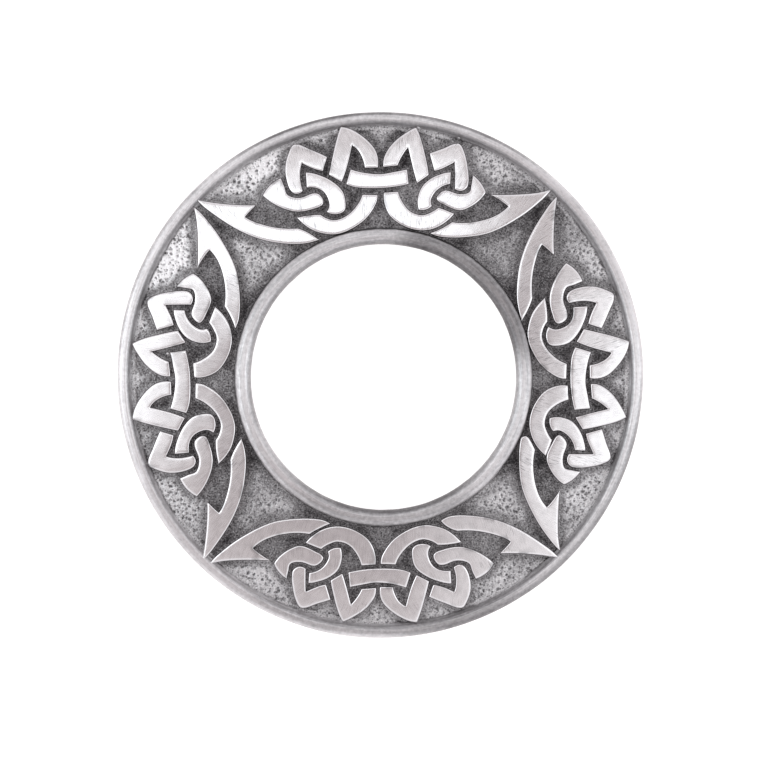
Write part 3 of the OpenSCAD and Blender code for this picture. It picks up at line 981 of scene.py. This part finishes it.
def belt_rubbed_pewter():
    """Pewter rubbed on a fine belt: flat satin tops with strokes, polished edges, dark walls."""
    material, tree = new_material("belt_rubbed_pewter")
    place = add(tree, "TexCoord")
    brushing = add(tree, "UVMap", uv_map="brushing").outputs[0]
    rubbed_and_painted_light = add(tree, "Attribute", attribute_name="rubbed_and_painted_light")
    scuffed = add(tree, "Attribute", attribute_name="scuffed")
    fine = add(tree, "Mapping", {"Vector": brushing}, {"Scale": (1 / BRUSH_L, 1 / BRUSH_W, 1)})
    strokes = add(
        tree, "TexNoise", {"Vector": fine.outputs[0]},
        {"Scale": 1.0, "Detail": 3, "Roughness": 0.6},
    ).outputs["Fac"]
    streaked = add(
        tree, "MapRange", {"Value": strokes},
        {"From Min": 0.3, "From Max": 0.7, "To Min": -0.06, "To Max": 0.05}, clamp=False,
    )
    grit = add(
        tree, "TexNoise", {"Vector": place.outputs["Object"]},
        {"Scale": 1 / (STRAP_GRIT * MM), "Detail": 3, "Roughness": 0.6},
    )
    broken = add(
        tree, "MapRange", {"Value": grit.outputs["Fac"]},
        {"From Min": 0.3, "From Max": 0.7, "To Min": -0.015, "To Max": 0.015}, clamp=False,
    )
    # A few deep scores, more of them where the strap is scuffed.
    deep = add(
        tree, "Mapping", {"Vector": brushing},
        {"Scale": (1 / SCORE_L, 1 / SCORE_W, 1), "Location": (7, 3, 0)},
    )
    scores = add(
        tree, "TexNoise", {"Vector": deep.outputs[0]},
        {"Scale": 1.0, "Detail": 2, "Roughness": 0.5},
    )
    scores_here = add(
        tree, "Math", {0: scuffed.outputs["Fac"], 2: scores.outputs["Fac"]}, {1: 0.14},
        operation="MULTIPLY_ADD",
    )
    scored = add(
        tree, "MapRange", {"Value": scores_here.outputs[0]},
        {"From Min": 0.66, "From Max": 0.84, "To Min": 0.0, "To Max": 0.24},
    )
    uneven = add(tree, "Math", {0: broken.outputs[0], 1: streaked.outputs[0]}, operation="ADD")
    level = add(tree, "Math", {0: rubbed_and_painted_light.outputs["Fac"], 1: uneven.outputs[0]}, operation="ADD")
    worn = add(tree, "Math", {0: level.outputs[0], 1: scored.outputs[0]}, operation="SUBTRACT")
    colour = add(tree, "ValToRGB", {"Fac": worn.outputs[0]}, stops=PATINA)
    dull = add(
        tree, "MapRange", {"Value": strokes},
        {"From Min": 0.3, "From Max": 0.7, "To Min": 0.16, "To Max": 0.23},
    )
    bump = add(tree, "Bump", {"Height": strokes}, {"Strength": 0.06, "Distance": 0.03 * MM})
    metal = add(
        tree, "BsdfPrincipled",
        {"Base Color": colour.outputs[0], "Roughness": dull.outputs[0], "Normal": bump.outputs[0]},
        {"Metallic": 1.0},
    )
    add(tree, "OutputMaterial", {"Surface": metal.outputs[0]})
    return material


interlace.data.materials.append(belt_rubbed_pewter())
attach(interlace, "root")
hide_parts("cast_ring")

# Pin bosses: two flat round seats of the same pewter, cast in one with the hollow back and left
# dull. The hinge foot and the catch of the pin are fixed to them.
BOSS_AT = ((-16.5, 24.5), (16.5, 24.5))
BOSS_R = 3.735
BOSS_Z = 2.831
BOSS_ROOT_Z = 4.6
BOSS_EDGE = 0.15
BOSS_RUBBED = 0.6

bpy.ops.object.select_all(action="DESELECT")
boss_pieces = []
for x, y in BOSS_AT:
    bpy.ops.mesh.primitive_cylinder_add(
        vertices=64, radius=BOSS_R * MM, depth=(BOSS_ROOT_Z - BOSS_Z) * MM,
        location=(x * MM, y * MM, (BOSS_ROOT_Z + BOSS_Z) / 2 * MM),
    )
    boss_pieces.append(bpy.context.object)
for boss in boss_pieces:
    boss.select_set(True)
bpy.ops.object.join()
bosses = bpy.context.object
bosses.name = bosses.data.name = "pin_bosses"
bpy.ops.object.transform_apply(location=True, rotation=True, scale=True)
cast_edge = bosses.modifiers.new("cast_edge", "BEVEL")
cast_edge.width, cast_edge.segments, cast_edge.limit_method = BOSS_EDGE * MM, 3, "ANGLE"
bpy.ops.object.modifier_apply(modifier=cast_edge.name)
smooth_but_for(40)
keep_values(bosses, "rubbed_and_painted_light", np.full(len(bosses.data.vertices), BOSS_RUBBED))
bosses.data.uv_layers.active.name = "turning"
bosses.data.materials.append(rim_metal)
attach(bosses, "root")
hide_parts("cast_ring")

# Pin: hinge foot, wire and catch of plated steel, fixed to the bosses on the back. It is a copy of
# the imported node, with its flat faces made whole and its edges eased.
PIN_EDGE = 0.06
WIRE_LINE_L = 4
WIRE_LINE_W = 0.12
STEEL = {0.3: "#9C9CA0", 0.6: "#C6C6CA"}

bpy.ops.object.select_all(action="DESELECT")
pin = bpy.data.objects.new("steel_pin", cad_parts["pin_fitting"].data.copy())
bpy.context.scene.collection.objects.link(pin)
edit(
    pin,
    lambda: bpy.ops.mesh.customdata_custom_splitnormals_clear(),
    lambda: bpy.ops.mesh.remove_doubles(threshold=WELD * MM),
    turn_outward,
    lambda: bpy.ops.mesh.dissolve_limited(angle_limit=math.radians(1)),
)
ease = pin.modifiers.new("eased_edges", "BEVEL")
ease.width, ease.segments, ease.use_clamp_overlap = PIN_EDGE * MM, 3, False
ease.limit_method, ease.angle_limit = "ANGLE", math.radians(40)
bpy.ops.object.modifier_apply(modifier=ease.name)
smooth_but_for(35)


def drawn_steel():
    """Nickel-plated steel, drawn and pressed: smooth, a little cooler and glossier than pewter."""
    material, tree = new_material("drawn_steel_pin")
    place = add(tree, "TexCoord")
    stretch = add(
        tree, "Mapping", {"Vector": place.outputs["Object"]},
        {"Scale": (1 / (WIRE_LINE_L * MM), *[1 / (WIRE_LINE_W * MM)] * 2)},
    )
    lines = add(
        tree, "TexNoise", {"Vector": stretch.outputs[0]}, {"Scale": 1.0, "Detail": 3}
    ).outputs["Fac"]
    colour = add(tree, "ValToRGB", {"Fac": lines}, stops=STEEL)
    dull = add(
        tree, "MapRange", {"Value": lines},
        {"From Min": 0.3, "From Max": 0.7, "To Min": 0.2, "To Max": 0.34},
    )
    metal = add(
        tree, "BsdfPrincipled",
        {"Base Color": colour.outputs[0], "Roughness": dull.outputs[0]}, {"Metallic": 1.0},
    )
    add(tree, "OutputMaterial", {"Surface": metal.outputs[0]})
    return material


pin.data.materials.clear()
pin.data.materials.append(drawn_steel())
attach(pin, "root")
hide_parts("pin_fitting")

# Studio: a white light table, so that no shadow shows, a white tent that is greyer overhead, and
# soft panels of light above the brooch: one beyond its top edge, and four to each side, which
# overlap so that their light grows outwards. Sizes here are in metres.
TABLE_SIZE = 4
TABLE_COLOUR = "#9E9D9D"
TABLE_ROUGHNESS = 0.9
TABLE_LIGHT = "#FFFDFD"
TABLE_GLOW = 0.88
TENT_GLOW = 1.3
TENT = {
    # height of the direction, from 0 at the horizon to 1 overhead: colour
    0.0: "#DEDFE2", 0.35: "#EFF0F3", 0.64: "#F3F4F7", 0.8: "#EDECEE",
    0.86: "#D4CFD0", 0.9: "#C6C0C0", 0.95: "#BAB4B5", 1.0: "#B7B1B2",
}
PANEL_LIGHT = "#F1FCFF"
PANEL_HEIGHT = 1.0
PANEL_STEP = 0.02
PANELS = {
    # name: (left and right edge), (lower and upper edge), turn in degrees, radiance
    "top_panel": ((-0.44, 0.22), (0.195, 0.474), 4, 1.15),
    "right_soft_panel": ((0.3, 2.0), (-0.55, 0.04), 0, 0.15),
    "right_panel": ((0.42, 2.2), (-0.27, 0.16), 0, 0.25),
    "right_far_panel": ((0.46, 2.4), (-0.32, 0.3), 0, 0.46),
    "lower_right_panel": ((0.1, 2.4), (-1.6, -0.16), 0, 0.2),
    "left_soft_panel": ((-2.0, -0.36), (-0.2, 0.4), 0, 0.08),
    "left_panel": ((-2.0, -0.48), (-0.17, 0.4), 0, 0.28),
    "left_far_panel": ((-3.0, -0.53), (-0.22, 0.45), 0, 0.5),
    "left_low_panel": ((-3.0, -0.8), (-0.7, 0.9), 0, 0.6),
}

bpy.ops.mesh.primitive_plane_add(size=TABLE_SIZE, location=(0, 0, 0))
table = bpy.context.object
table.name = "table"
material, tree = new_material("white_light_table")
glowing_white = add(tree, "BsdfPrincipled", (), {
    "Base Color": linear(TABLE_COLOUR), "Roughness": TABLE_ROUGHNESS,
    "Emission Color": linear(TABLE_LIGHT), "Emission Strength": TABLE_GLOW,
})
add(tree, "OutputMaterial", {"Surface": glowing_white.outputs[0]})
table.data.materials.append(material)

# Each panel hangs a little over the last, so that none lie in one plane. An area light of this
# energy looks as bright as its radiance says.
for i, (name, ((left, right), (lower, upper), turn, radiance)) in enumerate(PANELS.items()):
    light = bpy.data.lights.new(name, "AREA")
    light.shape = "RECTANGLE"
    light.size, light.size_y = right - left, upper - lower
    light.energy = 4 * radiance * light.size * light.size_y
    light.color = linear(PANEL_LIGHT)[:3]
    panel = bpy.data.objects.new(name, light)
    panel.location = ((left + right) / 2, (lower + upper) / 2, PANEL_HEIGHT + i * PANEL_STEP)
    panel.rotation_euler = (0, 0, math.radians(turn))
    bpy.context.scene.collection.objects.link(panel)

world = bpy.data.worlds.new("studio")
world.use_nodes = True
tree = world.node_tree
direction = add(tree, "TexCoord")
axes = add(tree, "SeparateXYZ", {"Vector": direction.outputs["Generated"]})
tent = add(tree, "ValToRGB", {"Fac": axes.outputs["Z"]}, stops=TENT)
tree.links.new(tent.outputs[0], tree.nodes["Background"].inputs["Color"])
tree.nodes["Background"].inputs["Strength"].default_value = TENT_GLOW
bpy.context.scene.world = world
bpy.context.scene.view_settings.view_transform = "Standard"
